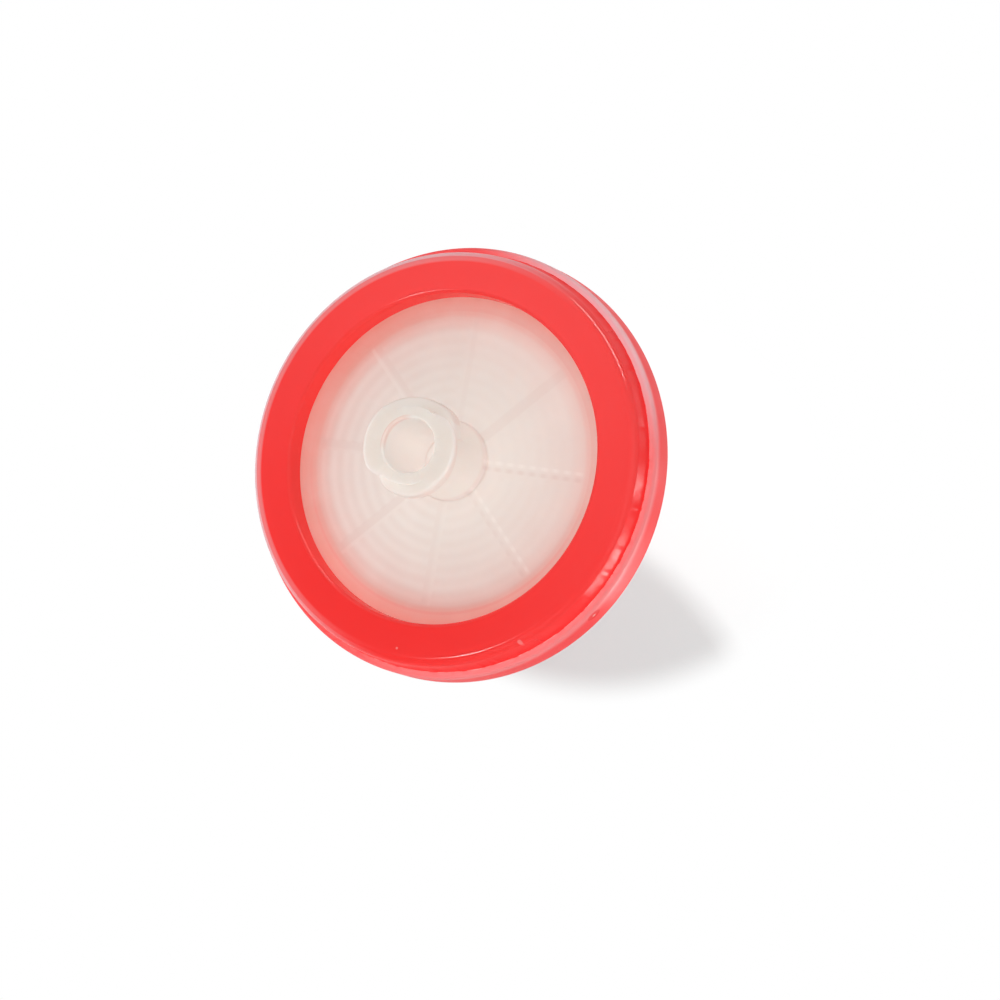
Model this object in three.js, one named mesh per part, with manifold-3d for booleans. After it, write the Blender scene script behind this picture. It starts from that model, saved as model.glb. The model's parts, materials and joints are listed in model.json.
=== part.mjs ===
// Syringe filter with a Luer-lock inlet and a Luer-slip outlet.
//
// Two natural polypropylene housing halves close over a disc of membrane, and a red
// ring moulded over both flanges clamps the stack. The faces that meet the membrane
// carry concentric ridges crossed by radial channels, which spread the liquid over
// the whole disc and collect it again on the outlet side.
//
// Units are millimetres. Every profile is a radius and a level: levels run along the
// filter's own axis, inlet side up, and level 0 is the step on the outside of the ring.

import * as THREE from 'three';
import { mergeVertices } from 'three/addons/utils/BufferGeometryUtils.js';
import Module from 'manifold-3d';

const wasm = await Module();
wasm.setup();

// ---- Driving dimensions ------------------------------------------------------------

// Membrane disc
const membraneRadius = 12.5;
const membraneThickness = 0.15;

// Clearance between pieces that the clamp ring presses together
const fitGap = 0.03;

// Inlet half
const inletFaceLevel = 0.5;      // outside face of the plate
const inletWall = 0.85;          // plate, from that face to the chamber ceiling
const inletRidgeHeight = 0.35;
const clampWidth = 0.62;         // membrane edge held between the two halves
const flangeOverlap = 2.37;      // flange that the ring's lips cover
const inletPortRadius = 1.2;
const chamberDraft = 0.08;

// Female Luer-lock hub
const hubHeight = 7.9;
const hubRadius = 3.1;
const hubDraft = 0.05;
const hubFillet = 0.15;
const luerMouthRadius = 2.15;
const luerTaper = 0.03;          // radius per millimetre of depth, the 6 % Luer cone
const luerFloorWall = 1.25;      // between the end of the bore and the chamber ceiling
const luerLeadIn = 0.12;

// Two thread lugs on the hub
const lugRadius = 3.9;
const lugRootWidth = 1.9;
const lugCrestWidth = 1.3;
const lugLead = 5.0;             // fall in one whole turn
const lugSpan = THREE.MathUtils.degToRad(215);
const lugStart = THREE.MathUtils.degToRad(271);
const lugRunOut = THREE.MathUtils.degToRad(36);
const lugRise = 1.3;             // crest that the hub's end face trims off at the start

// Outlet half
const outletWall = 0.9;
const outletRidgeHeight = 0.3;
const outletPortRadius = 1.35;
const bossRadius = 3.0;
const bossHeight = 2.4;
const bossFillet = 0.6;
const bossEdge = 0.3;

// Male Luer-slip tip
const tipLength = 7.5;
const tipRadius = 1.98;
const tipBoreRadius = 1.05;
const tipEdge = 0.15;

// Flow pattern
const inletRidgePitch = 0.973;
const outletRidgePitch = 1.6;
const ridgeRootWidth = 0.46;
const ridgeCrestWidth = 0.22;
const ridgeInset = 0.94;         // outermost ridge, in from the chamber wall
const channelCount = 8;
const channelWidth = 0.9;
const channelAngle = THREE.MathUtils.degToRad(33.3);

// Clamp ring
const windowMargin = 0.43;       // window edge outside the membrane's edge
const ringWall = 1.7;            // ring outside the flanges, at its widest
const partingStep = 0.54;        // rear part stands out this far behind the front wall
const frontHeight = 2.3;         // front face above the step
const frontDraft = 0.26;
const rearLip = 0.66;
const shoulderRound = 0.3;
const rearRound = 0.45;
const frontRound = 0.45;
const windowRound = 0.3;
const windowDraft = 0.06;

// Facets round each turned piece
const ringSegments = 88;
const housingSegments = 48;
const membraneSegments = 64;
const lugSteps = 20;

// ---- Levels and radii that follow --------------------------------------------------

const ceilingLevel = inletFaceLevel - inletWall;
const inletLandLevel = ceilingLevel - inletRidgeHeight;
const membraneLevel = inletLandLevel - fitGap - membraneThickness / 2;
const outletLandLevel = inletLandLevel - membraneThickness - 2 * fitGap;
const floorLevel = outletLandLevel - outletRidgeHeight;
const outletFaceLevel = floorLevel - outletWall;
const ringRearLevel = outletFaceLevel - fitGap - rearLip;
const hubEndLevel = inletFaceLevel + hubHeight;
const luerFloorLevel = ceilingLevel + luerFloorWall;
const luerDepth = hubEndLevel - luerFloorLevel;
const bossEndLevel = outletFaceLevel - bossHeight;
const tipEndLevel = bossEndLevel - tipLength;

const chamberRadius = membraneRadius - clampWidth;
const windowRadius = membraneRadius + windowMargin;
const flangeRadius = windowRadius + flangeOverlap;
const ringRadius = flangeRadius + ringWall;
const frontWallRadius = ringRadius - partingStep;

// ---- Helpers -----------------------------------------------------------------------

/** Turns a closed outline, drawn clockwise, about the filter's axis, which is +Z. */
function turned(path, segments) {
  const outline = path.getPoints(1).reverse();
  outline.push(outline[0].clone());
  const geometry = new THREE.LatheGeometry(outline, segments);
  geometry.rotateX(Math.PI / 2);
  return geometry;
}

/** Corner radius of a many-sided pocket whose flats lie at the given radius. */
function pocketCorner(flatRadius, segments) {
  return flatRadius / Math.cos(Math.PI / segments);
}

/** Makes a manifold solid of a closed geometry. */
function solidOf(geometry) {
  geometry.deleteAttribute('normal');
  geometry.deleteAttribute('uv');
  const merged = mergeVertices(geometry);
  return new wasm.Manifold(new wasm.Mesh({
    numProp: 3,
    vertProperties: new Float32Array(merged.getAttribute('position').array),
    triVerts: new Uint32Array(merged.getIndex().array),
  }));
}

/** Gives a manifold solid back as a geometry. */
function geometryOf(solid) {
  const mesh = solid.getMesh();
  const geometry = new THREE.BufferGeometry();
  geometry.setAttribute('position', new THREE.BufferAttribute(mesh.vertProperties, 3));
  geometry.setIndex(new THREE.BufferAttribute(mesh.triVerts, 1));
  geometry.computeVertexNormals();
  return geometry;
}

/** Radii of the ridges, from the chamber wall inwards, down to the clear centre. */
function ridgeRadii(pitch, clearRadius) {
  const radii = [];
  for (let r = chamberRadius - ridgeInset; r - pitch / 2 > clearRadius; r -= pitch) {
    radii.push(r);
  }
  return radii;
}

/** Draws one ridge in a profile, in the direction that the profile runs. */
function drawRidge(path, radius, rootLevel, crestLevel, direction) {
  path.lineTo(radius - direction * ridgeRootWidth / 2, rootLevel);
  path.lineTo(radius - direction * ridgeCrestWidth / 2, crestLevel);
  path.lineTo(radius + direction * ridgeCrestWidth / 2, crestLevel);
  path.lineTo(radius + direction * ridgeRootWidth / 2, rootLevel);
}

/** Bars that open the radial channels through the ridges between two levels. */
function channelBars(lowLevel, highLevel, clearRadius) {
  const end = chamberRadius - ridgeInset / 2;
  const length = end - clearRadius;
  const bars = [];
  for (let i = 0; i < channelCount; i += 1) {
    const bar = new THREE.BoxGeometry(length, channelWidth, highLevel - lowLevel);
    bar.translate(clearRadius + length / 2, 0, (lowLevel + highLevel) / 2);
    bar.rotateZ(channelAngle + i * 2 * Math.PI / channelCount);
    bars.push(solidOf(bar));
  }
  return wasm.Manifold.union(bars);
}

// ---- Inlet half --------------------------------------------------------------------

/** One thread lug: a straight bar of the lug's section, wrapped down round the hub. */
function lug(start) {
  const sink = 0.3;
  const height = lugRadius - hubRadius;
  const section = new THREE.Shape();
  section.moveTo(-sink, -lugRootWidth / 2);
  section.lineTo(0, -lugRootWidth / 2);
  section.lineTo(height, -lugCrestWidth / 2);
  section.lineTo(height, lugCrestWidth / 2);
  section.lineTo(0, lugRootWidth / 2);
  section.lineTo(-sink, lugRootWidth / 2);
  const bar = new THREE.ExtrudeGeometry(section, {
    depth: lugSpan, steps: lugSteps, bevelEnabled: false,
  });
  const startLevel = hubEndLevel + lugRise - lugCrestWidth / 2;
  const position = bar.getAttribute('position');
  for (let i = 0; i < position.count; i += 1) {
    const turn = position.getZ(i);
    const fade = Math.min(1, Math.min(turn, lugSpan - turn) / lugRunOut);
    const rise = Math.max(position.getX(i), -sink);
    const radius = hubRadius + (rise > 0 ? rise * Math.sin(fade * Math.PI / 2) : rise);
    const angle = start - turn;
    const level = startLevel - lugLead * turn / (2 * Math.PI) + position.getY(i);
    position.setXYZ(i, radius * Math.cos(angle), radius * Math.sin(angle), level);
  }
  return solidOf(bar);
}

function inletHousing() {
  const mouth = luerMouthRadius + luerLeadIn;
  const hubTopRadius = hubRadius - hubDraft;
  const filletCentre = hubRadius + hubFillet;
  const profile = new THREE.Path();
  profile.moveTo(mouth, hubEndLevel);
  profile.lineTo(hubTopRadius, hubEndLevel);
  profile.lineTo(hubRadius, inletFaceLevel + hubFillet);
  profile.absarc(filletCentre, inletFaceLevel + hubFillet, hubFillet,
    Math.PI, 1.5 * Math.PI, false);
  profile.lineTo(flangeRadius, inletFaceLevel);
  profile.lineTo(flangeRadius, inletLandLevel);
  profile.lineTo(chamberRadius, inletLandLevel);
  profile.lineTo(chamberRadius - chamberDraft, ceilingLevel);
  const clear = inletPortRadius + inletRidgePitch;
  for (const radius of ridgeRadii(inletRidgePitch, clear)) {
    drawRidge(profile, radius, ceilingLevel, inletLandLevel, -1);
  }
  profile.lineTo(inletPortRadius, ceilingLevel);
  profile.lineTo(inletPortRadius, luerFloorLevel);
  profile.lineTo(luerMouthRadius - luerTaper * luerDepth, luerFloorLevel);
  profile.lineTo(luerMouthRadius, hubEndLevel - luerLeadIn);

  const body = solidOf(turned(profile, housingSegments));
  const trim = new THREE.CylinderGeometry(2 * lugRadius, 2 * lugRadius, hubHeight, 12);
  trim.rotateX(Math.PI / 2);
  trim.translate(0, 0, hubEndLevel - hubHeight / 2);
  const lugs = lug(lugStart).add(lug(lugStart + Math.PI)).intersect(solidOf(trim));
  const channels = channelBars(inletLandLevel - channelWidth, ceilingLevel, clear);
  return geometryOf(body.add(lugs).subtract(channels));
}

// ---- Outlet half -------------------------------------------------------------------

function outletProfile() {
  const seatRadius = pocketCorner(membraneRadius + fitGap, housingSegments);
  const matingLevel = inletLandLevel - fitGap;
  const profile = new THREE.Path();
  profile.moveTo(outletPortRadius, floorLevel);
  const clear = outletPortRadius + outletRidgePitch / 2;
  for (const radius of ridgeRadii(outletRidgePitch, clear).reverse()) {
    drawRidge(profile, radius, floorLevel, outletLandLevel, 1);
  }
  profile.lineTo(chamberRadius - chamberDraft, floorLevel);
  profile.lineTo(chamberRadius, outletLandLevel);
  profile.lineTo(seatRadius, outletLandLevel);
  profile.lineTo(seatRadius + fitGap, matingLevel);
  profile.lineTo(flangeRadius, matingLevel);
  profile.lineTo(flangeRadius, outletFaceLevel);
  profile.lineTo(bossRadius + bossFillet, outletFaceLevel);
  profile.absarc(bossRadius + bossFillet, outletFaceLevel - bossFillet, bossFillet,
    0.5 * Math.PI, Math.PI, false);
  profile.lineTo(bossRadius, bossEndLevel + bossEdge);
  profile.lineTo(bossRadius - bossEdge, bossEndLevel);
  profile.lineTo(tipRadius + luerTaper * tipLength, bossEndLevel);
  profile.lineTo(tipRadius + luerTaper * tipEdge, tipEndLevel + tipEdge);
  profile.lineTo(tipRadius - tipEdge, tipEndLevel);
  profile.lineTo(tipBoreRadius, tipEndLevel);
  return profile;
}

function outletHousing() {
  const body = solidOf(turned(outletProfile(), housingSegments));
  const clear = outletPortRadius + outletRidgePitch / 2;
  const channels = channelBars(floorLevel, outletLandLevel + channelWidth, clear);
  return geometryOf(body.subtract(channels));
}

// ---- Membrane ----------------------------------------------------------------------

function membrane() {
  const disc = new THREE.CylinderGeometry(
    membraneRadius, membraneRadius, membraneThickness, membraneSegments);
  disc.rotateX(Math.PI / 2);
  disc.translate(0, 0, membraneLevel);
  return disc;
}

// ---- Clamp ring --------------------------------------------------------------------

function ringProfile() {
  const pocketRadius = pocketCorner(flangeRadius + fitGap, ringSegments);
  const frontEdge = frontWallRadius - frontDraft;
  const windowTop = windowRadius + windowDraft;
  const profile = new THREE.Path();
  profile.moveTo(windowTop + windowRound, frontHeight);
  profile.lineTo(frontEdge - frontRound, frontHeight);
  profile.absarc(frontEdge - frontRound, frontHeight - frontRound, frontRound,
    0.5 * Math.PI, 0, true);
  profile.lineTo(frontWallRadius, 0);
  profile.lineTo(ringRadius - shoulderRound, 0);
  profile.absarc(ringRadius - shoulderRound, -shoulderRound, shoulderRound,
    0.5 * Math.PI, 0, true);
  profile.lineTo(ringRadius, ringRearLevel + rearRound);
  profile.absarc(ringRadius - rearRound, ringRearLevel + rearRound, rearRound,
    0, -0.5 * Math.PI, true);
  profile.lineTo(windowRadius, ringRearLevel);
  profile.lineTo(windowRadius, outletFaceLevel - fitGap);
  profile.lineTo(pocketRadius, outletFaceLevel - fitGap);
  profile.lineTo(pocketRadius, inletFaceLevel + fitGap);
  profile.lineTo(windowRadius, inletFaceLevel + fitGap);
  profile.lineTo(windowTop, frontHeight - windowRound);
  profile.absarc(windowTop + windowRound, frontHeight - windowRound, windowRound,
    Math.PI, 0.5 * Math.PI, true);
  return profile;
}

function clampRing() {
  const ring = turned(ringProfile(), ringSegments);
  ring.rotateZ(Math.PI / ringSegments);   // a flat of its rim, not a corner, faces down
  return ring;
}

// ---- Assembly ----------------------------------------------------------------------

const naturalPlastic = new THREE.MeshStandardMaterial({
  color: 0xece0d6, roughness: 0.35, metalness: 0, name: 'natural_polypropylene',
});
const redPlastic = new THREE.MeshStandardMaterial({
  color: 0xf23c3a, roughness: 0.2, metalness: 0, name: 'red_polypropylene',
});
const membraneFilm = new THREE.MeshStandardMaterial({
  color: 0xf4f1ec, roughness: 0.8, metalness: 0, name: 'membrane_film',
});

function piece(name, geometry, material) {
  const mesh = new THREE.Mesh(geometry, material);
  mesh.name = name;
  return mesh;
}

/** Angle at which the filter leans when the ring's rim and the outlet tip both touch. */
function restingLean() {
  const tipX = tipRadius - tipEdge;
  const toFlat = Math.cos(Math.PI / ringSegments);
  const angles = ringProfile().getPoints(1)
    .map((point) => Math.atan2(point.y - tipEndLevel, point.x * toFlat - tipX));
  return Math.min(...angles);
}

const filter = new THREE.Group();
filter.add(piece('inlet_housing', inletHousing(), naturalPlastic));
filter.add(piece('outlet_housing', outletHousing(), naturalPlastic));
filter.add(piece('membrane', membrane(), membraneFilm));
filter.add(piece('clamp_ring', clampRing(), redPlastic));
filter.rotation.x = restingLean();

const group = new THREE.Group();
group.add(filter);
group.updateMatrixWorld(true);
const box = new THREE.Box3().setFromObject(group, true);
const centre = box.getCenter(new THREE.Vector3());
filter.position.set(-centre.x, -centre.y, -box.min.z);

export default group;
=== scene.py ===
# %% [markdown]
# # Syringe filter
#
# A disc-shaped laboratory filter: two natural polypropylene halves, welded round a disc of
# membrane, with a red ring moulded over both flanges. This script makes the finished
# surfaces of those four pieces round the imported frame.
#
# The frame says where each piece is. It is loaded first, and its box is kept, so that the
# finished model can be compared with it at the end.

# %% Load the frame
import json
import math

import bmesh
import bpy
from mathutils import Euler, Matrix, Vector, noise


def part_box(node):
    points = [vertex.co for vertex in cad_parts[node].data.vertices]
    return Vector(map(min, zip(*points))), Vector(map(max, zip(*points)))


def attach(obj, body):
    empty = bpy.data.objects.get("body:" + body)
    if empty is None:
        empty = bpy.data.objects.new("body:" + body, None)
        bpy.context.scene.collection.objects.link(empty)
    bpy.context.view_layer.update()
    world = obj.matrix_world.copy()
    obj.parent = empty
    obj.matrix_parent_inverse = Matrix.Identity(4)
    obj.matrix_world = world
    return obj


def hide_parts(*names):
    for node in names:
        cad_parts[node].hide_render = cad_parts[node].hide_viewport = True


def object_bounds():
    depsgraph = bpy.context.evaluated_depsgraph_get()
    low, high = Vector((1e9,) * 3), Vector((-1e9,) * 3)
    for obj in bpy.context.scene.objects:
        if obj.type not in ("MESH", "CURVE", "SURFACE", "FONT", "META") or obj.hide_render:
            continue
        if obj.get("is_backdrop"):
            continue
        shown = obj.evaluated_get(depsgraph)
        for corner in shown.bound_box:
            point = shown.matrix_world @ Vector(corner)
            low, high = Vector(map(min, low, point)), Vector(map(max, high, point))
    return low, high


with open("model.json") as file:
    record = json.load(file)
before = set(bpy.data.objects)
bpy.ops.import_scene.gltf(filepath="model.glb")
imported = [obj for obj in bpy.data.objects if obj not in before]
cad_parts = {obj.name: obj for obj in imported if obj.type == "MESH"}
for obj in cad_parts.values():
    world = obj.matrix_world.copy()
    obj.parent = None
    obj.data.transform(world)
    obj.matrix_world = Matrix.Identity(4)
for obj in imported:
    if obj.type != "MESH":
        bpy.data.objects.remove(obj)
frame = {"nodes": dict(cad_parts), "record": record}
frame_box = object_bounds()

print("frame box, mm:", [[round(v * 1000, 2) for v in corner] for corner in frame_box])

# %% [markdown]
# ## Where the filter lies
#
# The filter lies on the bench on the rim of its ring and the end of its outlet tip, so its
# own axis leans. Everything on it is round that axis. Modelling each piece upright, in
# millimetres, and laying it down at the end is far easier than modelling on a slant.
#
# The membrane is a plain disc, so the middle of its box is a point of the axis, and the
# inlet's mount gives the direction. Levels are counted along the axis from the step on the
# outside of the ring, inlet side up.

# %% Lay the upright filter on the bench
MM = 0.001
MEMBRANE_LEVEL = -0.805          # the membrane's middle, below the ring's step

mounts = {mount["name"]: mount for mount in frame["record"]["mounts"]}
axis = Vector(mounts["inlet_luer_face"]["axis"]).normalized()
lean = math.atan2(-axis.y, axis.z)
membrane_low, membrane_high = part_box("membrane")
step_centre = (membrane_low + membrane_high) / 2 - axis * MEMBRANE_LEVEL * MM
lay_down = (
    Matrix.Translation(step_centre) @ Matrix.Rotation(lean, 4, "X") @ Matrix.Scale(MM, 4)
)
print("lean, degrees:", round(math.degrees(lean), 2), "centre:", step_centre)


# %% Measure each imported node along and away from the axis
def reach(node):
    """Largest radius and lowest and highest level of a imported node, in millimetres."""
    stand_up = lay_down.inverted()
    points = [stand_up @ vertex.co for vertex in frame["nodes"][node].data.vertices]
    levels = [point.z for point in points]
    return max(math.hypot(p.x, p.y) for p in points), min(levels), max(levels)


RING_RADIUS, RING_REAR, RING_FRONT = reach("clamp_ring")
MEMBRANE_RADIUS, MEMBRANE_LOW, MEMBRANE_HIGH = reach("membrane")
FLANGE_RADIUS, INLET_LAND, HUB_END = reach("inlet_housing")
TIP_END = reach("outlet_housing")[1]
print("ring radius", round(RING_RADIUS, 3), "levels", round(RING_REAR, 3), round(RING_FRONT, 3))
print("hub end", round(HUB_END, 3), "tip end", round(TIP_END, 3))

# %% [markdown]
# ## The camera
#
# The view looks down on the inlet side, with the hub leaning to the left. A long lens from
# 0.4 m away keeps the disc free of perspective. Its focal length follows from the width
# that the picture takes in at that distance.

# %% Make the camera
CAMERA_AZIMUTH = math.radians(48.8)
CAMERA_ELEVATION = math.radians(58.5)
CAMERA_DISTANCE = 0.4                     # metres, as the next three are
VIEW_WIDTH = 0.0778
AIM_RIGHT, AIM_UP = 0.00366, -0.00296
SENSOR_WIDTH = 36                         # millimetres, the usual full frame

toward_camera = Vector((
    math.sin(CAMERA_AZIMUTH) * math.cos(CAMERA_ELEVATION),
    -math.cos(CAMERA_AZIMUTH) * math.cos(CAMERA_ELEVATION),
    math.sin(CAMERA_ELEVATION),
))
camera_turn = toward_camera.to_track_quat("Z", "Y")
camera_right = camera_turn @ Vector((1, 0, 0))
camera_up = camera_turn @ Vector((0, 1, 0))
aim = step_centre + camera_right * AIM_RIGHT + camera_up * AIM_UP

camera_data = bpy.data.cameras.new("camera")
camera_data.sensor_width = SENSOR_WIDTH
camera_data.lens = SENSOR_WIDTH * CAMERA_DISTANCE / VIEW_WIDTH
camera = bpy.data.objects.new("camera", camera_data)
camera.location = aim + toward_camera * CAMERA_DISTANCE
camera.rotation_euler = camera_turn.to_euler()
bpy.context.scene.collection.objects.link(camera)
bpy.context.scene.camera = camera
print("camera at", camera.location, "lens", round(camera_data.lens, 1))

# %% [markdown]
# ## Turned pieces
#
# Every moulded piece here is a body of revolution. One outline of corners, each with its
# own rounding, is drawn as a closed wire and turned once round the axis with spin. Rounding
# the corners of the wire, before it is turned, gives clean even fillets all the way round,
# where a bevel of the finished solid would have to find its own edges.


# %% Helpers that draw and turn an outline
SMALL_ROUNDING, MIDDLE_ROUNDING = 0.08, 0.2


def rounding_segments(rounding):
    """Edges that a rounded corner is made of, more for a larger one."""
    return 2 if rounding < SMALL_ROUNDING else 4 if rounding < MIDDLE_ROUNDING else 7


def outline(corners):
    """A closed wire of (radius, level, rounding) corners, in the XZ plane."""
    bm = bmesh.new()
    verts = [bm.verts.new((radius, 0, level)) for radius, level, _ in corners]
    for first, second in zip(verts, verts[1:] + verts[:1]):
        bm.edges.new((first, second))
    for vert, (_, _, rounding) in zip(verts, corners):
        if rounding:
            bmesh.ops.bevel(
                bm, geom=[vert], offset=rounding, offset_type="OFFSET",
                segments=rounding_segments(rounding), profile=0.5, affect="VERTICES",
                material=-1,
            )
    return bm


def turn(bm, steps):
    """Turns the wire once round the axis, into a closed body with its faces outwards."""
    bmesh.ops.spin(
        bm, geom=bm.verts[:] + bm.edges[:], cent=(0, 0, 0), axis=(0, 0, 1),
        angle=math.tau, steps=steps, use_merge=True,
    )
    bmesh.ops.recalc_face_normals(bm, faces=bm.faces[:])
    return bm


# %% Helpers that make a piece of a mesh, and cut or join meshes
SMOOTH_ANGLE = math.radians(30)


def as_object(name, bm):
    """Makes an object of a bmesh, and puts it in the scene."""
    mesh = bpy.data.meshes.new(name)
    bm.to_mesh(mesh)
    bm.free()
    made = bpy.data.objects.new(name, mesh)
    bpy.context.scene.collection.objects.link(made)
    return made


def combine(body, tool, operation):
    """Cuts the tool from the body, or joins it on, and leaves a plain mesh."""
    modifier = body.modifiers.new("combine", "BOOLEAN")
    modifier.solver = "EXACT"
    modifier.operation = operation
    modifier.object = tool
    evaluated = body.evaluated_get(bpy.context.evaluated_depsgraph_get())
    combined = bpy.data.meshes.new_from_object(evaluated)
    body.modifiers.clear()
    body.data = combined
    bpy.data.objects.remove(tool)


def finish_piece(piece, slot, node):
    """Lays an upright piece down in its place and ties it to the frame."""
    piece.data.transform(lay_down)
    piece.data.shade_smooth()
    piece.data.set_sharp_from_angle(angle=SMOOTH_ANGLE)
    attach(piece, "root")
    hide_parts(node)
    print(piece.name, len(piece.data.polygons), "faces")


# %% [markdown]
# ## Sizes shared by both halves
#
# The flow pattern is a set of concentric ridges that hold the membrane off the wall, cut
# across by eight radial channels. The same radii and angles serve both halves.

# %% Shared sizes, in millimetres
HALF_STEPS = 288
CHAMBER_RADIUS = 11.88
CHAMBER_DRAFT = 0.08
RIDGE_ROOT, RIDGE_CREST, RIDGE_ROUND = 0.46, 0.22, 0.04
RIDGE_OUTERMOST = CHAMBER_RADIUS - 0.94
CHANNELS = 8
CHANNEL_WIDTH = 0.9
CHANNEL_END = CHAMBER_RADIUS - 0.47
CHANNEL_ANGLE = math.radians(33.3)
CUT_PAST = 1.0                   # how far a cutter runs on past what it cuts
LUER_TAPER = 0.03                # a side
FIT_GAP = 0.03                   # between two pieces that touch


def ridge_radii(pitch, clear):
    """Radii of the ridges, from the chamber's wall in to the clear centre."""
    count = math.ceil((RIDGE_OUTERMOST - pitch / 2 - clear) / pitch)
    return [RIDGE_OUTERMOST - pitch * i for i in range(count)]


def ridge(radius, root, crest, direction):
    """Four corners of a ridge, in the direction that the outline runs."""
    half_root, half_crest = direction * RIDGE_ROOT / 2, direction * RIDGE_CREST / 2
    return [
        (radius - half_root, root, RIDGE_ROUND),
        (radius - half_crest, crest, RIDGE_ROUND),
        (radius + half_crest, crest, RIDGE_ROUND),
        (radius + half_root, root, RIDGE_ROUND),
    ]


def channel_cutter(low, high, clear):
    """Eight bars that open the channels through the ridges."""
    bm = bmesh.new()
    length = CHANNEL_END - clear
    for i in range(CHANNELS):
        bar = bmesh.ops.create_cube(bm, size=1)["verts"]
        bmesh.ops.scale(bm, vec=(length, CHANNEL_WIDTH, high - low), verts=bar)
        bmesh.ops.translate(bm, vec=(clear + length / 2, 0, (low + high) / 2), verts=bar)
        bmesh.ops.rotate(
            bm, cent=(0, 0, 0), verts=bar,
            matrix=Matrix.Rotation(CHANNEL_ANGLE + i * math.tau / CHANNELS, 3, "Z"),
        )
    return as_object("channel_cutter", bm)


print("outermost ridge at", round(RIDGE_OUTERMOST, 2), "channels end at", round(CHANNEL_END, 2))

# %% [markdown]
# ## The inlet half
#
# A thin flat plate carries the female Luer hub. The hub is turned longer than it ends up,
# the two thread lugs are joined to it, and then one round body trims hub and lugs together.
# That gives the single flat end face of the real moulding, with one rim to round.

# %% Sizes of the inlet half, in millimetres
INLET_FACE = 0.5
CEILING = -0.35
INLET_RIDGE_PITCH = 0.973
INLET_PORT = 1.2
INLET_CLEAR = INLET_PORT + INLET_RIDGE_PITCH
HUB_RADIUS, HUB_DRAFT, HUB_FILLET = 3.1, 0.05, 0.15
LUER_MOUTH, LUER_LEAD_IN, LUER_FLOOR = 2.15, 0.12, 0.9
TRIM_ALLOWANCE = 0.5             # what the hub is turned too long by
TRIM_SPARE = 0.002               # what the trimming body is wider than the lugs by
RIM_ROUND = 0.06
LUG_RADIUS, LUG_ROOT, LUG_CREST = 3.88, 1.9, 1.3
LUG_SINK = 0.3                   # how deep a lug's foot stands in the hub
LUG_LEAD = 5.0                   # what the thread falls by in one full turn
LUG_RISE = 1.3                   # how far the thread starts above the hub's end
LUG_ROUND = 0.25
LUG_START = math.radians(271)
LUG_SPAN = math.radians(215)
LUG_RUN_OUT = math.radians(36)
LUG_LEAST = 0.02                 # share of its height that a lug keeps at its very end
LUG_STEPS = 120
ANGLE_SPARE = 0.01               # keeps a lug's first section from counting as a full turn
ON_FACE = 1e-4                   # how near a level a vertex lies that is on it
RIM_ANGLE = math.radians(35)     # an edge sharper than this bounds the end face


# %% Turn the inlet half's plate and hub
def inlet_outline():
    """Corners of the inlet half, clockwise from the mouth of its bore."""
    top = HUB_END + TRIM_ALLOWANCE
    bore_foot = LUER_MOUTH - LUER_TAPER * (HUB_END - LUER_FLOOR)
    corners = [
        (LUER_MOUTH + LUER_LEAD_IN + TRIM_ALLOWANCE, top, 0),
        (HUB_RADIUS - HUB_DRAFT, top, 0),
        (HUB_RADIUS, INLET_FACE, HUB_FILLET),
        (FLANGE_RADIUS, INLET_FACE, 0.05),
        (FLANGE_RADIUS, INLET_LAND, 0.05),
        (CHAMBER_RADIUS, INLET_LAND, 0.06),
        (CHAMBER_RADIUS - CHAMBER_DRAFT, CEILING, 0.08),
    ]
    for radius in ridge_radii(INLET_RIDGE_PITCH, INLET_CLEAR):
        corners += ridge(radius, CEILING, INLET_LAND, -1)
    corners += [
        (INLET_PORT, CEILING, 0.1),
        (INLET_PORT, LUER_FLOOR, 0.06),
        (bore_foot, LUER_FLOOR, 0.12),
        (LUER_MOUTH, HUB_END - LUER_LEAD_IN, 0),
    ]
    return corners


print("inlet ridges at", [round(r, 2) for r in ridge_radii(INLET_RIDGE_PITCH, INLET_CLEAR)])
inlet = as_object("inlet_half", turn(outline(inlet_outline()), HALF_STEPS))
print("plate and hub turned:", len(inlet.data.vertices), "vertices")


# %% Sweep the two thread lugs
def lug(start):
    """One lug: the thread's rounded section, swept down round the hub, faded at its ends."""
    middle = HUB_END + LUG_RISE - LUG_CREST / 2
    bm = outline([
        (HUB_RADIUS - LUG_SINK, middle - LUG_ROOT / 2, 0),
        (HUB_RADIUS - HUB_DRAFT, middle - LUG_ROOT / 2, 0),
        (LUG_RADIUS, middle - LUG_CREST / 2, LUG_ROUND),
        (LUG_RADIUS, middle + LUG_CREST / 2, LUG_ROUND),
        (HUB_RADIUS - HUB_DRAFT, middle + LUG_ROOT / 2, 0),
        (HUB_RADIUS - LUG_SINK, middle + LUG_ROOT / 2, 0),
    ])
    bmesh.ops.edgeloop_fill(bm, edges=bm.edges[:])
    bmesh.ops.rotate(
        bm, cent=(0, 0, 0), verts=bm.verts[:], matrix=Matrix.Rotation(start, 3, "Z"),
    )
    bmesh.ops.spin(
        bm, geom=bm.verts[:] + bm.edges[:] + bm.faces[:], cent=(0, 0, 0), axis=(0, 0, 1),
        angle=-LUG_SPAN, steps=LUG_STEPS,
        dvec=(0, 0, -LUG_LEAD * LUG_SPAN / math.tau / LUG_STEPS),
    )
    for vert in bm.verts:
        turned = start - math.atan2(vert.co.y, vert.co.x)
        turned = (turned + ANGLE_SPARE) % math.tau - ANGLE_SPARE
        fade = min(1.0, max(LUG_LEAST, min(turned, LUG_SPAN - turned) / LUG_RUN_OUT))
        radius = math.hypot(vert.co.x, vert.co.y)
        if radius > HUB_RADIUS:
            faded = HUB_RADIUS + (radius - HUB_RADIUS) * math.sin(fade * math.pi / 2)
            vert.co.xy *= faded / radius
    bmesh.ops.recalc_face_normals(bm, faces=bm.faces[:])
    return as_object("lug", bm)


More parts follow.
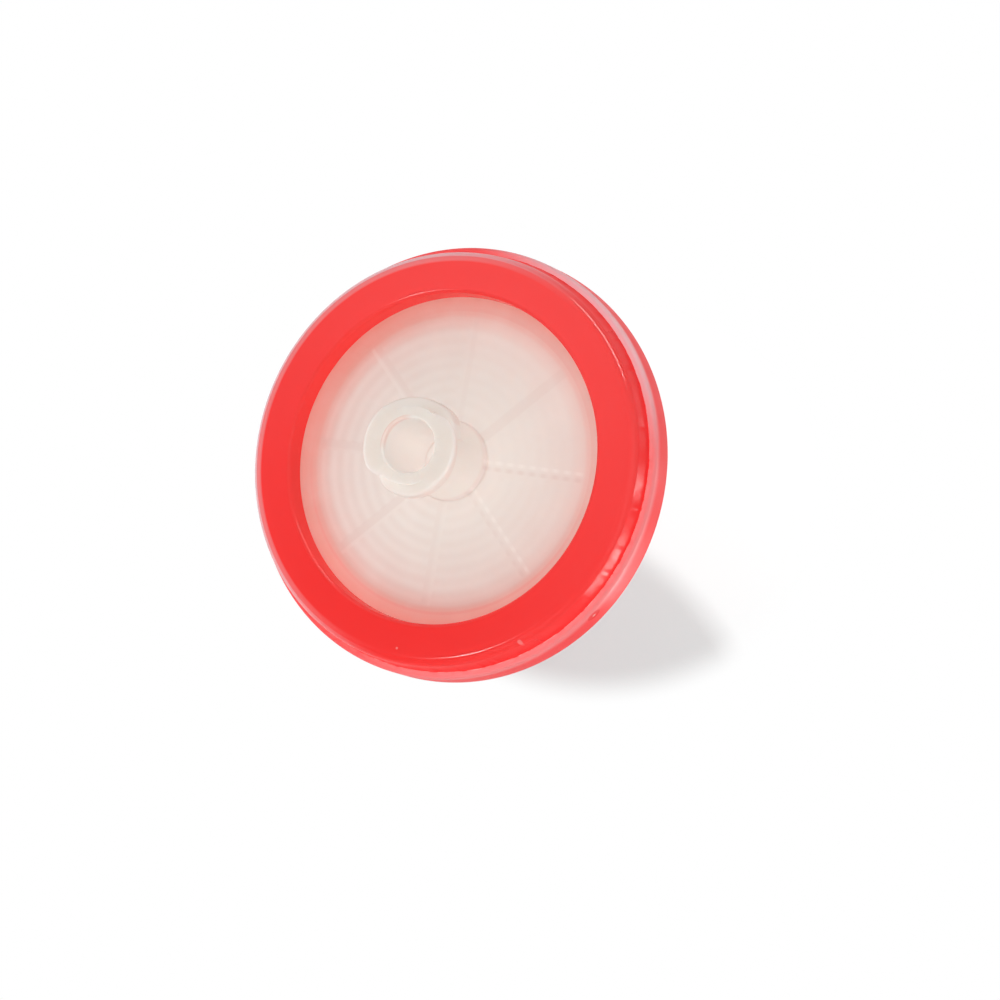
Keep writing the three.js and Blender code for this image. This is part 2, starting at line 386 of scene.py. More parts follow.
for start in (LUG_START, LUG_START + math.pi):
    combine(inlet, lug(start), "UNION")
print("lugs joined:", len(inlet.data.vertices), "vertices")


# %% Trim the hub and its lugs to one end face
def trimming_body():
    """A round body, as wide as the lugs, whose end face and soft edge trim the hub."""
    return as_object("trimming_body", turn(outline([
        (0.0, HUB_END, 0),
        (LUG_RADIUS + TRIM_SPARE, HUB_END, LUG_ROUND),
        (LUG_RADIUS + TRIM_SPARE, INLET_FACE + CUT_PAST, 0),
        (FLANGE_RADIUS + CUT_PAST, INLET_FACE + CUT_PAST, 0),
        (FLANGE_RADIUS + CUT_PAST, INLET_LAND - CUT_PAST, 0),
        (0.0, INLET_LAND - CUT_PAST, 0),
    ]), HALF_STEPS))


def round_rim(piece, level, rounding):
    """Rounds the sharp edges that bound the flat face at a level."""
    bm = bmesh.new()
    bm.from_mesh(piece.data)
    rim = [
        edge for edge in bm.edges
        if all(abs(v.co.z - level) < ON_FACE for v in edge.verts)
        and edge.calc_face_angle(0) > RIM_ANGLE
    ]
    bmesh.ops.bevel(
        bm, geom=rim, offset=rounding, offset_type="OFFSET", segments=3, profile=0.5,
        affect="EDGES", material=-1, clamp_overlap=True,
    )
    print("rim edges", len(rim), "open edges", sum(1 for e in bm.edges if not e.is_manifold))
    bm.to_mesh(piece.data)
    bm.free()


combine(inlet, trimming_body(), "INTERSECT")
round_rim(inlet, HUB_END, RIM_ROUND)
combine(inlet, channel_cutter(INLET_LAND - CUT_PAST, CEILING, INLET_CLEAR), "DIFFERENCE")
print("inlet half:", len(inlet.data.vertices), "vertices")

# %% [markdown]
# ## The outlet half
#
# The second half closes the stack from below. It has the same kind of ribbed floor with
# fewer ridges, a boss, and the male Luer tip, whose taper is the one of the bore above.

# %% Sizes of the outlet half, in millimetres
OUTLET_LAND = -0.91
OUTLET_FLOOR = -1.21
OUTLET_FACE = -2.11
OUTLET_RIDGE_PITCH = 1.6
OUTLET_PORT = 1.35
OUTLET_CLEAR = OUTLET_PORT + OUTLET_RIDGE_PITCH / 2
OUTLET_CUT_TOP = OUTLET_LAND + 0.6
BOSS_RADIUS, BOSS_END, BOSS_FILLET = 3.0, -4.51, 0.6
TIP_RADIUS, TIP_BORE = 1.98, 1.05


# %% Turn the outlet half and open its channels
def outlet_outline():
    """Corners of the outlet half, from its port outwards and back along its outside."""
    seat = MEMBRANE_RADIUS + FIT_GAP
    corners = [(OUTLET_PORT, OUTLET_FLOOR, 0.1)]
    for radius in reversed(ridge_radii(OUTLET_RIDGE_PITCH, OUTLET_CLEAR)):
        corners += ridge(radius, OUTLET_FLOOR, OUTLET_LAND, 1)
    corners += [
        (CHAMBER_RADIUS - CHAMBER_DRAFT, OUTLET_FLOOR, 0.08),
        (CHAMBER_RADIUS, OUTLET_LAND, 0.06),
        (seat, OUTLET_LAND, 0),
        (seat + FIT_GAP, INLET_LAND - FIT_GAP, 0),
        (FLANGE_RADIUS, INLET_LAND - FIT_GAP, 0.05),
        (FLANGE_RADIUS, OUTLET_FACE, 0.05),
        (BOSS_RADIUS, OUTLET_FACE, BOSS_FILLET),
        (BOSS_RADIUS, BOSS_END, 0.3),
        (TIP_RADIUS + LUER_TAPER * (BOSS_END - TIP_END), BOSS_END, 0.15),
        (TIP_RADIUS, TIP_END, 0.18),
        (TIP_BORE, TIP_END, 0.1),
    ]
    return corners


outlet = as_object("outlet_half", turn(outline(outlet_outline()), HALF_STEPS))
combine(outlet, channel_cutter(OUTLET_FLOOR, OUTLET_CUT_TOP, OUTLET_CLEAR), "DIFFERENCE")
print("outlet half:", len(outlet.data.vertices), "vertices")

# %% [markdown]
# ## The membrane
#
# A thin microporous film, held by its edge between the halves. It is a plain disc.

# %% Make the membrane
bm = bmesh.new()
bmesh.ops.create_cone(
    bm, cap_ends=True, segments=HALF_STEPS, radius1=MEMBRANE_RADIUS,
    radius2=MEMBRANE_RADIUS, depth=MEMBRANE_HIGH - MEMBRANE_LOW,
    matrix=Matrix.Translation((0, 0, (MEMBRANE_HIGH + MEMBRANE_LOW) / 2)),
)
membrane = as_object("membrane_film", bm)
print("membrane:", round(2 * MEMBRANE_RADIUS, 2), "mm across")

# %% [markdown]
# ## The clamp ring
#
# The ring is moulded over both flanges in a second shot, so it is a C in section. Its front
# stands in a little from the rest, and the mould's parting line runs round that step. There
# the plastic has squeezed out, in places, into a thin ragged fin that lies on the shoulder.
# The fin is three close corners of the outline. The middle one's turned copies are moved
# out a little, by a noise that follows the angle.

# %% Sizes of the ring, in millimetres
RING_STEPS = 360
WINDOW_RADIUS = 12.93
WINDOW_DRAFT = 0.06
FRONT_WALL = 16.46
FRONT_EDGE = 16.20
FRONT_ROUND = 0.62
FIN_LEVEL = 0.02                 # of the fin's crest
FIN_HALF = 0.02                  # half the fin's thickness
FIN_RISE, FIN_FOOT = 0.003, 0.005
FIN_REACH = 0.10                 # how far the crest moves out per unit of noise
FIN_COARSE, FIN_FINE = 0.9, 3.7  # noise turns per millimetre
FINE_SHARE = 0.6


# %% Turn the ring
def ring_outline():
    """Corners of the ring, clockwise from the window's front edge."""
    pocket = FLANGE_RADIUS + FIT_GAP
    return [
        (WINDOW_RADIUS + WINDOW_DRAFT, RING_FRONT, 0.3),
        (FRONT_EDGE, RING_FRONT, FRONT_ROUND),
        (FRONT_WALL - FIN_RISE, FIN_LEVEL + FIN_HALF, 0.0),
        (FRONT_WALL, FIN_LEVEL, 0.0),
        (FRONT_WALL + FIN_FOOT, 0.0, 0.0),
        (RING_RADIUS, 0.0, 0.3),
        (RING_RADIUS, RING_REAR, 0.45),
        (WINDOW_RADIUS, RING_REAR, 0.1),
        (WINDOW_RADIUS, OUTLET_FACE - FIT_GAP, 0),
        (pocket, OUTLET_FACE - FIT_GAP, 0),
        (pocket, INLET_FACE + FIT_GAP, 0),
        (WINDOW_RADIUS, INLET_FACE + FIT_GAP, 0),
    ]


def rag_the_fin(bm):
    """Moves the fin's crest out, unevenly, as flash is."""
    crest = [v for v in bm.verts if abs(v.co.z - FIN_LEVEL) < ON_FACE]
    for vert in crest:
        coarse, fine = (noise.noise(vert.co * scale) for scale in (FIN_COARSE, FIN_FINE))
        swing = coarse + FINE_SHARE * fine
        vert.co.xy *= 1 + FIN_REACH * max(0.02, swing - 0.1) / FRONT_WALL
    return len(crest)


ring_bm = turn(outline(ring_outline()), RING_STEPS)
print("fin vertices:", rag_the_fin(ring_bm))
ring = as_object("red_ring", ring_bm)


# %% [markdown]
# ## Shader maths
#
# Materials here are sums and masks of a few coordinates. Written as nodes one by one they
# are hard to read, so a small class wraps a socket: an expression on such values adds the
# Math nodes for it.

# %% A socket that takes part in Python expressions
class Value:
    """Wraps a socket of a node tree. Arithmetic on it adds Math nodes."""

    def __init__(self, tree, socket):
        self.tree = tree
        self.socket = socket

    def math(self, operation, *others):
        return node(self.tree, "ShaderNodeMath", {"operation": operation}, self, *others)

    def __add__(self, other): return self.math("ADD", other)
    def __radd__(self, other): return self.math("ADD", other)
    def __sub__(self, other): return self.math("SUBTRACT", other)
    def __mul__(self, other): return self.math("MULTIPLY", other)
    def __rmul__(self, other): return self.math("MULTIPLY", other)
    def __truediv__(self, other): return self.math("DIVIDE", other)
    def __neg__(self): return self.math("MULTIPLY", -1.0)

    def __rsub__(self, other):
        return node(self.tree, "ShaderNodeMath", {"operation": "SUBTRACT"}, other, self)

    def smooth(self, low, high):
        """0 below low, 1 above high, and a soft step between."""
        settings = {"interpolation_type": "SMOOTHSTEP"}
        return node(self.tree, "ShaderNodeMapRange", settings, self, low, high, 0.0, 1.0)

    def band(self, centre, half_width, soft):
        """1 within half a width of the centre, and 0 beyond a soft edge."""
        away = (self - centre).math("ABSOLUTE")
        return 1.0 - away.smooth(half_width, half_width + soft)


def node(tree, kind, settings, *values, output=0, **named):
    """Adds a node, sets its settings, then the values or links of its sockets."""
    made = tree.nodes.new(kind)
    for name, setting in settings.items():
        setattr(made, name, setting)
    for key, value in [*enumerate(values), *named.items()]:
        socket = made.inputs[key.replace("_", " ") if isinstance(key, str) else key]
        if isinstance(value, Value):
            tree.links.new(value.socket, socket)
        else:
            socket.default_value = value
    return Value(tree, made.outputs[output])


# %% Colours laid over one another
MIX_FACTOR, MIX_FIRST, MIX_SECOND, MIX_RESULT = 0, 6, 7, 2    # a Mix node's colour sockets


def mix(tree, factor, first, second):
    """Mixes two colours, each a value or a plain tuple."""
    made = tree.nodes.new("ShaderNodeMix")
    made.data_type = "RGBA"
    for key, value in ((MIX_FACTOR, factor), (MIX_FIRST, first), (MIX_SECOND, second)):
        if isinstance(value, Value):
            tree.links.new(value.socket, made.inputs[key])
        else:
            made.inputs[key].default_value = (*value, 1.0)
    return Value(tree, made.outputs[MIX_RESULT])


def coats(tree, colour, *layers):
    """Lays coats over a colour, in turn. Each is a mask and the coat's own colour."""
    for mask, coat in layers:
        colour = mix(tree, mask, colour, coat)
    return colour


# %% [markdown]
# A material starts from coordinates in the filter's own frame, in millimetres, so that
# radius and level mean the same in a shader as they do in an outline. A Mapping node set to
# Texture undoes the lay-down of the pieces.

# %% A new material and its upright coordinates
OBJECT_OUTPUT = 3                # of a Texture Coordinate node


def new_material(name):
    """A material with a Principled shader, and its upright coordinates in millimetres."""
    material = bpy.data.materials.new(name)
    material.use_nodes = True
    tree = material.node_tree
    shader = next(n for n in tree.nodes if n.type == "BSDF_PRINCIPLED")
    place = node(tree, "ShaderNodeTexCoord", {}, output=OBJECT_OUTPUT)
    upright = node(
        tree, "ShaderNodeMapping", {"vector_type": "TEXTURE"}, Vector=place,
        Location=step_centre, Rotation=Euler((lean, 0, 0)), Scale=(MM, MM, MM),
    )
    return material, tree, shader, upright


def split(tree, vector):
    """The three numbers of a vector."""
    separate = tree.nodes.new("ShaderNodeSeparateXYZ")
    tree.links.new(vector.socket, separate.inputs[0])
    return [Value(tree, output) for output in separate.outputs]


def cylindrical(tree, upright):
    """Radius, angle and level of a point, from its upright coordinates."""
    x, y, level = split(tree, upright)
    return spot(x, y), y.math("ARCTAN2", x), level


def spot(across, along):
    """Distance from a place, from how far a point is across and along from it."""
    return (across * across + along * along).math("SQRT")


def facing(angle, direction):
    """From 0 to 1: how far an angle agrees with a direction, given in degrees."""
    return (angle - math.radians(direction)).math("COSINE") * 0.5 + 0.5


def rough_noise(tree, vector, scale, detail=3.0):
    """A soft seedless noise from 0 to 1."""
    return node(tree, "ShaderNodeTexNoise", {}, Vector=vector, Scale=scale, Detail=detail)


# %% Helpers that fill in a shader's sockets
def vary(tree, shader, colour, roughness, height, relief):
    """Links what changes over a surface. A height of 1 stands out by the relief, in metres."""
    normal = node(tree, "ShaderNodeBump", {}, Strength=1.0, Distance=relief, Height=height)
    for name, value in (("Base Color", colour), ("Roughness", roughness), ("Normal", normal)):
        tree.links.new(value.socket, shader.inputs[name])


def set_evenly(shader, **values):
    """Sets what is the same all over a surface."""
    for name, value in values.items():
        shader.inputs[name.replace("_", " ")].default_value = value


POLYPROPYLENE_IOR = 1.49
SOFT_RELIEF, FINE_RELIEF = 0.00002, 0.00001    # metres

# %% [markdown]
# ## Natural polypropylene
#
# Unpigmented polypropylene is milky: light goes in and scatters about before it leaves. The
# shader scatters it just under the surface, and lets a little straight through. Light sent
# right through two plates and a film comes out far too dark, so what lies behind the plate
# is laid on it as soft coats of colour: painted light and shade of the rings and channels of
# the chamber, which are also modelled on its hidden face, and painted red light of the ring
# round its edge. Painted light also lightens the bore, the hub's side and one side of the
# chamber, and a painted reflection of the ring lies in the bore's mouth.

# %% Painted light and shade of the flow pattern
def channel_distance(radius, angle):
    """Distance from the middle of the nearest channel, positive anticlockwise of it."""
    sector = math.tau / CHANNELS
    turns = (angle - CHANNEL_ANGLE) / sector + 0.5
    return radius * ((turns.math("FRACT") - 0.5) * sector).math("SINE")


def ridge_wave(radius):
    """1 on the crest of each of the inlet's ridges, and -1 halfway between two."""
    turn_per_mm = math.tau / INLET_RIDGE_PITCH
    return ((RIDGE_OUTERMOST - radius) * turn_per_mm).math("COSINE")


def ridge_light(radius, angle):
    """Painted light and shade of the ridges: 1 on a crest, -1 in a valley, 0 in a channel."""
    outer_end = RIDGE_OUTERMOST + INLET_RIDGE_PITCH / 2
    middle = (outer_end + INLET_CLEAR) / 2
    ribbed = radius.band(middle, outer_end - middle, 0.1)
    between = channel_distance(radius, angle).math("ABSOLUTE").smooth(0.3, 0.5)
    return ridge_wave(radius) * ribbed * between


# %% [markdown]
# Each of the eight channels catches the light in its own way, and that light and shade is
# painted on, as a painted shade and a painted highlight. Two of them show as rows of dots,
# where the ends of the ridges stand along them.

# %% Painted shade and highlight of the eight channels
# Painted shade, painted highlight, width and dots of each channel, counted anticlockwise.
CHANNEL_SHADES = (
    (0.22, 0.36, 0.06, 1), (0.18, 0.0, 0.32, 0), (0.10, 0.0, 0.12, 0), (0.16, 0.26, 0.12, 0),
    (0.18, 0.0, 0.25, 0), (0.20, 0.12, 0.25, 0), (0.10, 0.10, 0.10, 0), (0.14, 0.36, 0.05, 1),
)
# Painted shade.
SHADE = (0.60, 0.42, 0.38)
# A pale colour for painted highlights, and for a paler tone at random.
GLINT_AND_PALE_TONE = (0.92, 0.88, 0.84)


def channel_coats(radius, angle, in_chamber):
    """A painted shade and a painted highlight for each channel."""
    away = channel_distance(radius, angle)
    ribbed = radius.band(7.0, 4.3, 0.3) * in_chamber
    dots = ridge_wave(radius)
    for number, (dark, light, wide, dotted) in enumerate(CHANNEL_SHADES):
        direction = math.degrees(CHANNEL_ANGLE + number * math.tau / CHANNELS)
        this = facing(angle, direction).smooth(0.96, 0.97)
        here = this * ribbed * (dots * (0.4 * dotted) + 0.6)
        yield away.band(-0.2, wide, 0.2) * here * dark, SHADE
        yield away.band(0.3, 0.06, 0.16) * here * light, GLINT_AND_PALE_TONE


# %% [markdown]
# The red of the ring shows in the plate's edge as painted red light. It grows in steps
# towards the rim: gently over the ridges, then more over the flat land, and most past the
# wall of the chamber.

# %% How much painted red light of the ring shows in the plate
def red_light_share(radius, angle):
    """The share of painted red light in the plate's colour, 0 at the hub to nearly 1 at the
    rim.
    """
    far_side = facing(angle, 200)
    near_side = facing(angle, 30).smooth(0.5, 1.0)
    over_ridges = (
        radius.smooth(5.0, 10.0) * 0.12
        + radius.smooth(8.0, 10.2) * facing(angle, 235) * 0.12
    )
    over_land = (
        radius.smooth(10.0, 11.3) * (far_side * 0.15 + 0.23 - near_side * 0.11)
        + radius.smooth(10.3, 10.5) * far_side * 0.06
    )
    past_the_wall = radius.smooth(11.25, 11.65) * 0.26 + radius.smooth(12.1, 12.9) * 0.10
    return over_ridges + over_land + past_the_wall


# %% Make the natural plastic
CREAM = (0.782, 0.726, 0.686)
# Painted light: the ring's red light in the plate, and its reflection in the bore's mouth.
ROSE_LIGHT = (0.75, 0.40, 0.335)
# Painted light: a lighter rose where the ring's wall shades the plate.
LIT_ROSE = (0.90, 0.44, 0.37)
# Painted shade: a darker rose along the chamber's wall.
SHADED_WALL_ROSE = (0.80, 0.30, 0.26)
# Painted light: the bore painted lighter.
LIT_BORE_CREAM = (0.808, 0.762, 0.734)
HUB = (0.79, 0.728, 0.672)
# Painted light: the hub's side painted lighter.
LIT_FLANK = (0.81, 0.80, 0.75)


def edge_coats(radius, angle, on_plate):
    """Painted light and shade at the chamber's wall: a lighter rose on one side, and a darker
    line.
    """
    bright = radius.smooth(11.5, 12.1) * on_plate * facing(angle, 305).smooth(0.65, 0.95)
    wall = radius.band(11.95, 0.05, 0.12) * on_plate
    return (
        (bright * 0.45, LIT_ROSE),
        (wall * (facing(angle, 300).smooth(0.4, 0.9) * 0.25 + 0.05), SHADED_WALL_ROSE),
    )


def hub_coats(radius, angle, level):
    """The hub, with painted light on its side and bore and a painted reflection in its mouth.
    """
    mouth = radius.band(LUER_MOUTH, 0.2, 0.05) * level.smooth(7.7, 8.1)
    return (
        (level.smooth(0.9, 1.3), HUB),
        # Painted light on the hub's side.
        (radius.band(3.3, 0.25, 0.1) * level.band(4.2, 2.5, 0.8), LIT_FLANK),
        # Painted light in the bore.
        ((1.0 - radius.smooth(2.5, 2.6)) * level.band(4.4, 3.7, 0.2), LIT_BORE_CREAM),
        # A painted reflection of the red ring, a crescent in the bore's mouth.
        (mouth * facing(angle, 178).smooth(0.78, 0.95) * 0.45, ROSE_LIGHT),
    )


def natural_plastic():
    material, tree, shader, upright = new_material("natural_plastic")
    radius, angle, level = cylindrical(tree, upright)
    on_plate = 1.0 - level.smooth(0.9, 1.4)
    in_chamber = on_plate * (1.0 - radius.smooth(CHAMBER_RADIUS - 0.1, CHAMBER_RADIUS))
    painted_lit_side = facing(angle, 75).smooth(0.55, 1.0) * in_chamber
    ridges = ridge_light(radius, angle) * on_plate * (facing(angle, 235) * 0.85 + 0.15)
    cloud = rough_noise(tree, upright, 0.35)
    colour = coats(
        tree, CREAM,
        # Painted red light of the ring, towards the plate's edge.
        (red_light_share(radius, angle) * on_plate, ROSE_LIGHT),
        *edge_coats(radius, angle, on_plate),
        *hub_coats(radius, angle, level),
        # Painted light on one side of the chamber.
        (painted_lit_side * 0.12, GLINT_AND_PALE_TONE),
        # Painted highlight on the ridges' crests and painted shade in their valleys.
        (ridges * 0.10, GLINT_AND_PALE_TONE),
        (-ridges * 0.07, SHADE),
        # Painted shade and painted highlight of the channels.
        *channel_coats(radius, angle, in_chamber),
        # A paler tone that varies at random.
        ((cloud - 0.45) * 0.4, GLINT_AND_PALE_TONE),
    )
    roughness = rough_noise(tree, upright, 2.5) * 0.10 + 0.27
    surface = rough_noise(tree, upright, 1.3, detail=4.0)
    vary(tree, shader, colour, roughness, surface, SOFT_RELIEF)
    set_evenly(
        shader, Alpha=0.92, IOR=POLYPROPYLENE_IOR, Subsurface_Weight=1.0,
        Subsurface_Radius=(1.0, 0.85, 0.8), Subsurface_Scale=0.0012,
    )
    print("natural plastic:", len(tree.nodes), "nodes")
    return material


# %% [markdown]
# ## The membrane's film
#
# Microporous film scatters all light and has no gloss at all.

# %% Make the film
FILM_HOLLOW, FILM_FIBRE = (0.86, 0.84, 0.80), (0.93, 0.91, 0.88)


def film():
    material, tree, shader, upright = new_material("membrane_film")
    fibres = rough_noise(tree, upright, 9.0, detail=5.0)
    colour = mix(tree, fibres, FILM_HOLLOW, FILM_FIBRE)
    vary(tree, shader, colour, fibres * 0.1 + 0.8, fibres, FINE_RELIEF)
    print("film:", len(tree.nodes), "nodes")
    return material


# %% [markdown]
# ## Red polypropylene
#
# The ring is a glossy, strongly coloured plastic. Where its wall is thin over the white
# flanges, behind the step, the colour is paler and pinker, and painted light and a painted
# sheen add to that. Lighter reds on its upper side, front wall and window's wall are painted
# light; a pale line on the front's outer edge is a painted reflection, and one on the fin a
# painted highlight. The gate, where the plastic ran in, left a small round mark on the side,
# with a painted highlight on its nub.

# %% Reds, painted lit reds, and where the ring is paler
RED = (0.93, 0.036, 0.034)
# Painted light: a lighter red on the ring's upper side.
SUNLIT_RED = (0.99, 0.074, 0.072)
# Painted light: a brighter, deeper red on the front wall.
LIT_FRONT_WALL_RED = (0.99, 0.030, 0.029)
# Painted light: a lighter red on the window's wall.
LIT_WINDOW_RED = (0.92, 0.054, 0.050)
PINK = (0.98, 0.060, 0.062)
# Paler pink: the shoulder's own where the wall is thin, with painted light and reflection.
PALE_PINK = (0.90, 0.235, 0.24)
# Pale pink for painted highlights on the fin and the gate's nub, and for small marks.
GLINT_AND_MARK_PINK = (0.94, 0.50, 0.48)
# Near white, for a painted sheen and a painted reflection.
SHEEN_WHITE = (0.86, 0.60, 0.64)
GATE_RED = (0.86, 0.035, 0.036)


def behind_coats(angle, level, behind):
    """Behind the step: pink, paler at the step, with painted light and a painted white sheen.
    """
    lit_side = facing(angle, 20).smooth(0.3, 0.75) * 0.75 + 0.25
    whiter = behind * level.smooth(-0.9, -0.1) * facing(angle, 85).smooth(0.86, 1.0)
    return (
        (behind, PINK),
        # Paler towards the step, with painted light on the lit side.
        (behind * level.smooth(-1.1, -0.05) * lit_side, PALE_PINK),
        # A painted sheen, near white.
        (whiter * 0.7, SHEEN_WHITE),
    )


def rim_coats(radius, angle, level):
    """A painted reflection: a pale line on the front's outer edge, on its far side."""
    far_rim = level.smooth(1.2, 1.6) * facing(angle, 190).smooth(0.35, 0.9)
    return (
        (far_rim * radius.smooth(15.4, 15.6) * 0.85, PALE_PINK),
        (far_rim * radius.smooth(15.85, 15.95) * 0.7, SHEEN_WHITE),
    )


# %% Small marks on the ring
# Where the gate's mark is, in radians and millimetres, and how much flatter than round.
GATE_ANGLE, GATE_LEVEL, GATE_FLATTEN = -0.061, -0.9, 1.3
# Direction, radius, size and strength of each speck on the front.
SPECKS = ((-22, 16.12, 0.22, 0.3), (-60, 15.15, 0.12, 0.4))


def speck_coats(radius, angle, level):
    """Small pale specks on the front face."""
    for direction, place, size, strength in SPECKS:
        speck = spot(radius * (angle - math.radians(direction)), radius - place)
        marked = (1.0 - speck.smooth(size / 2, size)) * level.smooth(1.2, 1.4)
        yield marked * strength, GLINT_AND_MARK_PINK


# %% Make the red plastic
def red_plastic():
    material, tree, shader, upright = new_material("red_plastic")
    radius, angle, level = cylindrical(tree, upright)
    window = 1.0 - radius.smooth(13.15, 13.35)
    front_wall = radius.smooth(16.0, 16.15) * level.band(0.85, 0.82, 0.25)
    ragged = radius + (rough_noise(tree, upright, 1.6) - 0.5) * 0.08
    behind = ragged.smooth(FRONT_WALL, FRONT_WALL + 0.04) * (1.0 - level.smooth(0.03, 0.06))
    fin = level.band(FIN_LEVEL, 0.012, 0.01) * facing(angle, 340).smooth(0.5, 0.8)
    broken = rough_noise(tree, upright, 1.1).smooth(0.38, 0.5)
    gate = spot(radius * (angle - GATE_ANGLE), (level - GATE_LEVEL) * GATE_FLATTEN)
    colour = coats(
        tree, RED,
        # Painted light on the upper side.
        (facing(angle, 110), SUNLIT_RED),
        # Painted light on the window's wall.
        (window, LIT_WINDOW_RED),
        # Painted light on the front wall.
        (front_wall, LIT_FRONT_WALL_RED),
        *behind_coats(angle, level, behind),
        *rim_coats(radius, angle, level),
        # A painted highlight along the fin's crest.
        (fin * broken, GLINT_AND_MARK_PINK),
        (1.0 - gate.smooth(0.55, 0.70), GATE_RED),
        # A painted highlight on the gate's nub.
        (1.0 - gate.smooth(0.08, 0.20), GLINT_AND_MARK_PINK),
        *speck_coats(radius, angle, level),
    )
    dull = front_wall * (1.0 - facing(angle, 30).smooth(0.75, 0.9)) * 0.20
    dull = dull + front_wall * 0.05 + behind * 0.3
    roughness = rough_noise(tree, upright, 1.7) * 0.06 + dull + 0.11
    surface = rough_noise(tree, upright, 0.8, detail=4.0)
    pit = gate.band(0.3, 0.1, 0.15) * -2.0
    grooves = node(tree, "ShaderNodeTexNoise", {"noise_dimensions": "1D"}, W=level * 5.0)
    grooves = (grooves - 0.5) * radius.smooth(16.0, 16.3) * 0.08
    vary(tree, shader, colour, roughness, surface + pit + grooves, FINE_RELIEF)
    set_evenly(
        shader, IOR=POLYPROPYLENE_IOR, Specular_IOR_Level=0.08, Subsurface_Weight=0.25,
        Subsurface_Radius=(1.0, 0.15, 0.12), Subsurface_Scale=0.0008,
    )
    print("red plastic:", len(tree.nodes), "nodes")
    return material


# %% Dress the four pieces and lay them down
plastic = natural_plastic()
for piece, slot, packed, material in (
    (inlet, "natural_housing", "inlet_housing", plastic),
    (outlet, "natural_housing", "outlet_housing", plastic),
    (membrane, "membrane_film", "membrane", film()),
    (ring, "red_ring", "clamp_ring", red_plastic()),
):
    piece.data.materials.clear()
    piece.data.materials.append(material)
    finish_piece(piece, slot, packed)

# %% [markdown]
# ## The bench
#
# The bench is plain white. What the camera sees of it, in a pool round the shadow, is half
# its own lit colour and half plain white, so that it reads as a white page and still takes
# the filter's soft shadow. Beyond the pool it fades to plain white.

# %% Make the bench
BENCH_REACH = 1.5                # metres each way, as the next three are
BENCH_DROP = 0.00002             # keeps the bench just clear of what rests on it
POOL = (0.005, 0.0105)
POOL_EDGE = (0.0155, 0.0190)
BENCH_GLOW = 0.48                # share of plain white inside the pool
BENCH_COLOUR = (0.55, 0.563, 0.563, 1.0)
WHITE = (1.0, 1.0, 1.0, 1.0)


def looked_at(tree):
    """1 for rays of the camera, of reflections and of what is seen through a piece."""
    rays = tree.nodes.new("ShaderNodeLightPath")
    seen, glossy, through = (
        Value(tree, rays.outputs[f"Is {kind} Ray"])
        for kind in ("Camera", "Glossy", "Transmission")
    )
    return seen.math("MAXIMUM", glossy.math("MAXIMUM", through))


def bench_material():
    material = bpy.data.materials.new("white_bench")
    material.use_nodes = True
    tree = material.node_tree
    tree.nodes.clear()
    x, y, _ = split(tree, node(tree, "ShaderNodeTexCoord", {}, output=OBJECT_OUTPUT))
    far = spot(x - POOL[0], y - POOL[1]).smooth(*POOL_EDGE)
    share = looked_at(tree) * (far * (1 - BENCH_GLOW) + BENCH_GLOW)
    lit = node(tree, "ShaderNodeBsdfDiffuse", {}, Color=BENCH_COLOUR)
    glow = node(tree, "ShaderNodeEmission", {}, Color=WHITE, Strength=1.0)
    both = node(tree, "ShaderNodeMixShader", {}, share, lit, glow)
    out = tree.nodes.new("ShaderNodeOutputMaterial")
    tree.links.new(both.socket, out.inputs["Surface"])
    return material


bm = bmesh.new()
bmesh.ops.create_grid(bm, x_segments=1, y_segments=1, size=BENCH_REACH)
bmesh.ops.translate(bm, vec=(0, 0, -BENCH_DROP), verts=bm.verts)
bench = as_object("bench", bm)
bench.data.materials.append(bench_material())
bench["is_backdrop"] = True
print("bench:", [round(v, 2) for v in bench.dimensions], "m")

# %% [markdown]
# ## The lights
#
# Even light from four sides fills the window and the bore. These lamps cast no shadow, so
# that the hub leaves none on the plate. One more lamp makes the shadow on the bench, and it
# lights the bench only.

# %% Lamps that look at the filter
LAMP_DISTANCE = 0.6              # metres


def area_lamp(name, width, height, strength):
    """A rectangular lamp that the camera can't see."""
    light = bpy.data.lights.new(name, "AREA")
    light.shape = "RECTANGLE"
    light.size, light.size_y = width, height
    light.energy = strength
    made = bpy.data.objects.new(name, light)
    made.visible_camera = False
    bpy.context.scene.collection.objects.link(made)
    return made


def aim_at_filter(lamp, direction):
    """Puts a lamp where a direction points to, seen from the filter, and turns it back."""
    direction = Vector(direction).normalized()
    lamp.location = step_centre + direction * LAMP_DISTANCE
    lamp.rotation_euler = direction.to_track_quat("Z", "Y").to_euler()


def round_the_axis(angle, elevation):
    """A direction given round the filter's axis, and above its plate, in degrees."""
    angle, elevation = math.radians(angle), math.radians(elevation)
    flat = math.cos(elevation)
    upright = Vector((flat * math.cos(angle), flat * math.sin(angle), math.sin(elevation)))
    return Matrix.Rotation(lean, 3, "X") @ upright


def only(name, piece):
    """A collection for lamps that light one piece and no other."""
    made = bpy.data.collections.new(name)
    made.objects.link(piece)
    return made


# %% Fill the window and the bore
for name, angle, elevation, size, strength in (
    *((f"fill_{number}", 45 + 90 * number, 35, 0.4, 1.0) for number in range(4)),
    ("side", 10, 20, 0.3, 0.55),
):
    fill = area_lamp(name, size, size, strength)
    aim_at_filter(fill, round_the_axis(angle, elevation))
    fill.data.use_shadow = False

# %% [markdown]
# The ring is glossy, so it shows lamps as highlights. Two small lamps make the thin lines
# along its front edge. Its wall looks down, at the bench: the highlights there come from
# small cards that lie just above the bench and face up.

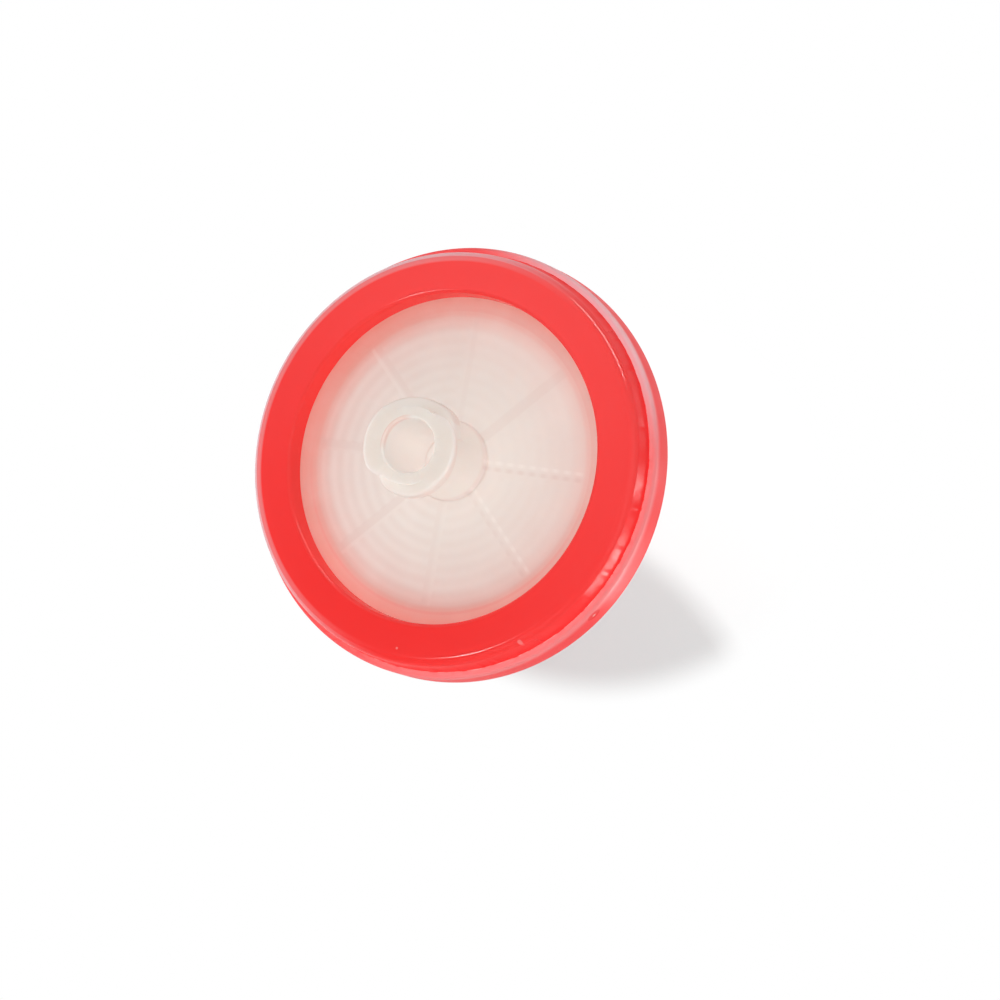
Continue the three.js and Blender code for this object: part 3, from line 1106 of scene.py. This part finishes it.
# %% Highlights on the ring
only_ring = only("only_ring", ring)
CARD_HEIGHT = 0.0033             # metres, as the places and sizes below are


def glint(name, width, height, strength):
    """A lamp that only shows as a reflection in the ring."""
    made = area_lamp(name, width, height, strength)
    made.visible_diffuse = False
    made.light_linking.receiver_collection = only_ring
    return made


for name, angle, elevation, width, height, strength in (
    ("rim_strip", 97, 19, 0.36, 0.05, 6.5),
    ("rim_spot", 251, 67, 0.05, 0.03, 1.6),
):
    aim_at_filter(glint(name, width, height, strength), round_the_axis(angle, elevation))

for name, x, y, yaw, length, width, strength in (
    ("wall_bar", 0.0252, 0.0092, 74, 0.0130, 0.0050, 0.0035),
    ("wall_glow", 0.0270, 0.0222, 87, 0.0135, 0.0050, 0.0009),
    ("wall_line", 0.0270, 0.0305, 0, 0.0100, 0.0018, 0.0045),
    ("wall_patch", 0.0150, 0.0440, 150, 0.0160, 0.0060, 0.0020),
):
    card = glint(name, length, width, strength)
    card.location = (x, y, CARD_HEIGHT)
    card.rotation_euler = (math.pi, 0, math.radians(yaw))

# %% The shadow on the bench
key = area_lamp("key", 0.06, 0.06, 4.8)
aim_at_filter(key, (-0.88, 0.33, 1.0))
key.light_linking.receiver_collection = only("only_bench", bench)

# %% [markdown]
# ## The room
#
# The room is white. It lights the filter weakly, at a share of what the camera sees, so
# that the background is plain white and the lamps still shape the filter.

# %% Make the room
ROOM_LIGHT = 0.4

world = bpy.data.worlds.new("room")
world.use_nodes = True
tree = world.node_tree
tree.nodes.clear()
strength = looked_at(tree) * (1 - ROOM_LIGHT) + ROOM_LIGHT
background = node(tree, "ShaderNodeBackground", {}, Strength=strength)
world_out = tree.nodes.new("ShaderNodeOutputWorld")
tree.links.new(background.socket, world_out.inputs["Surface"])
bpy.context.scene.world = world
bpy.context.scene.view_settings.view_transform = "Standard"

# %% Set the finished model's box beside the frame's, and finish
sizes = {"frame": frame_box, "finished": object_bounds()}
{name: [[float(v) for v in c] for c in box] for name, box in sizes.items()}
print("finished box, mm:", [[round(v * 1000, 2) for v in c] for c in sizes["finished"]])
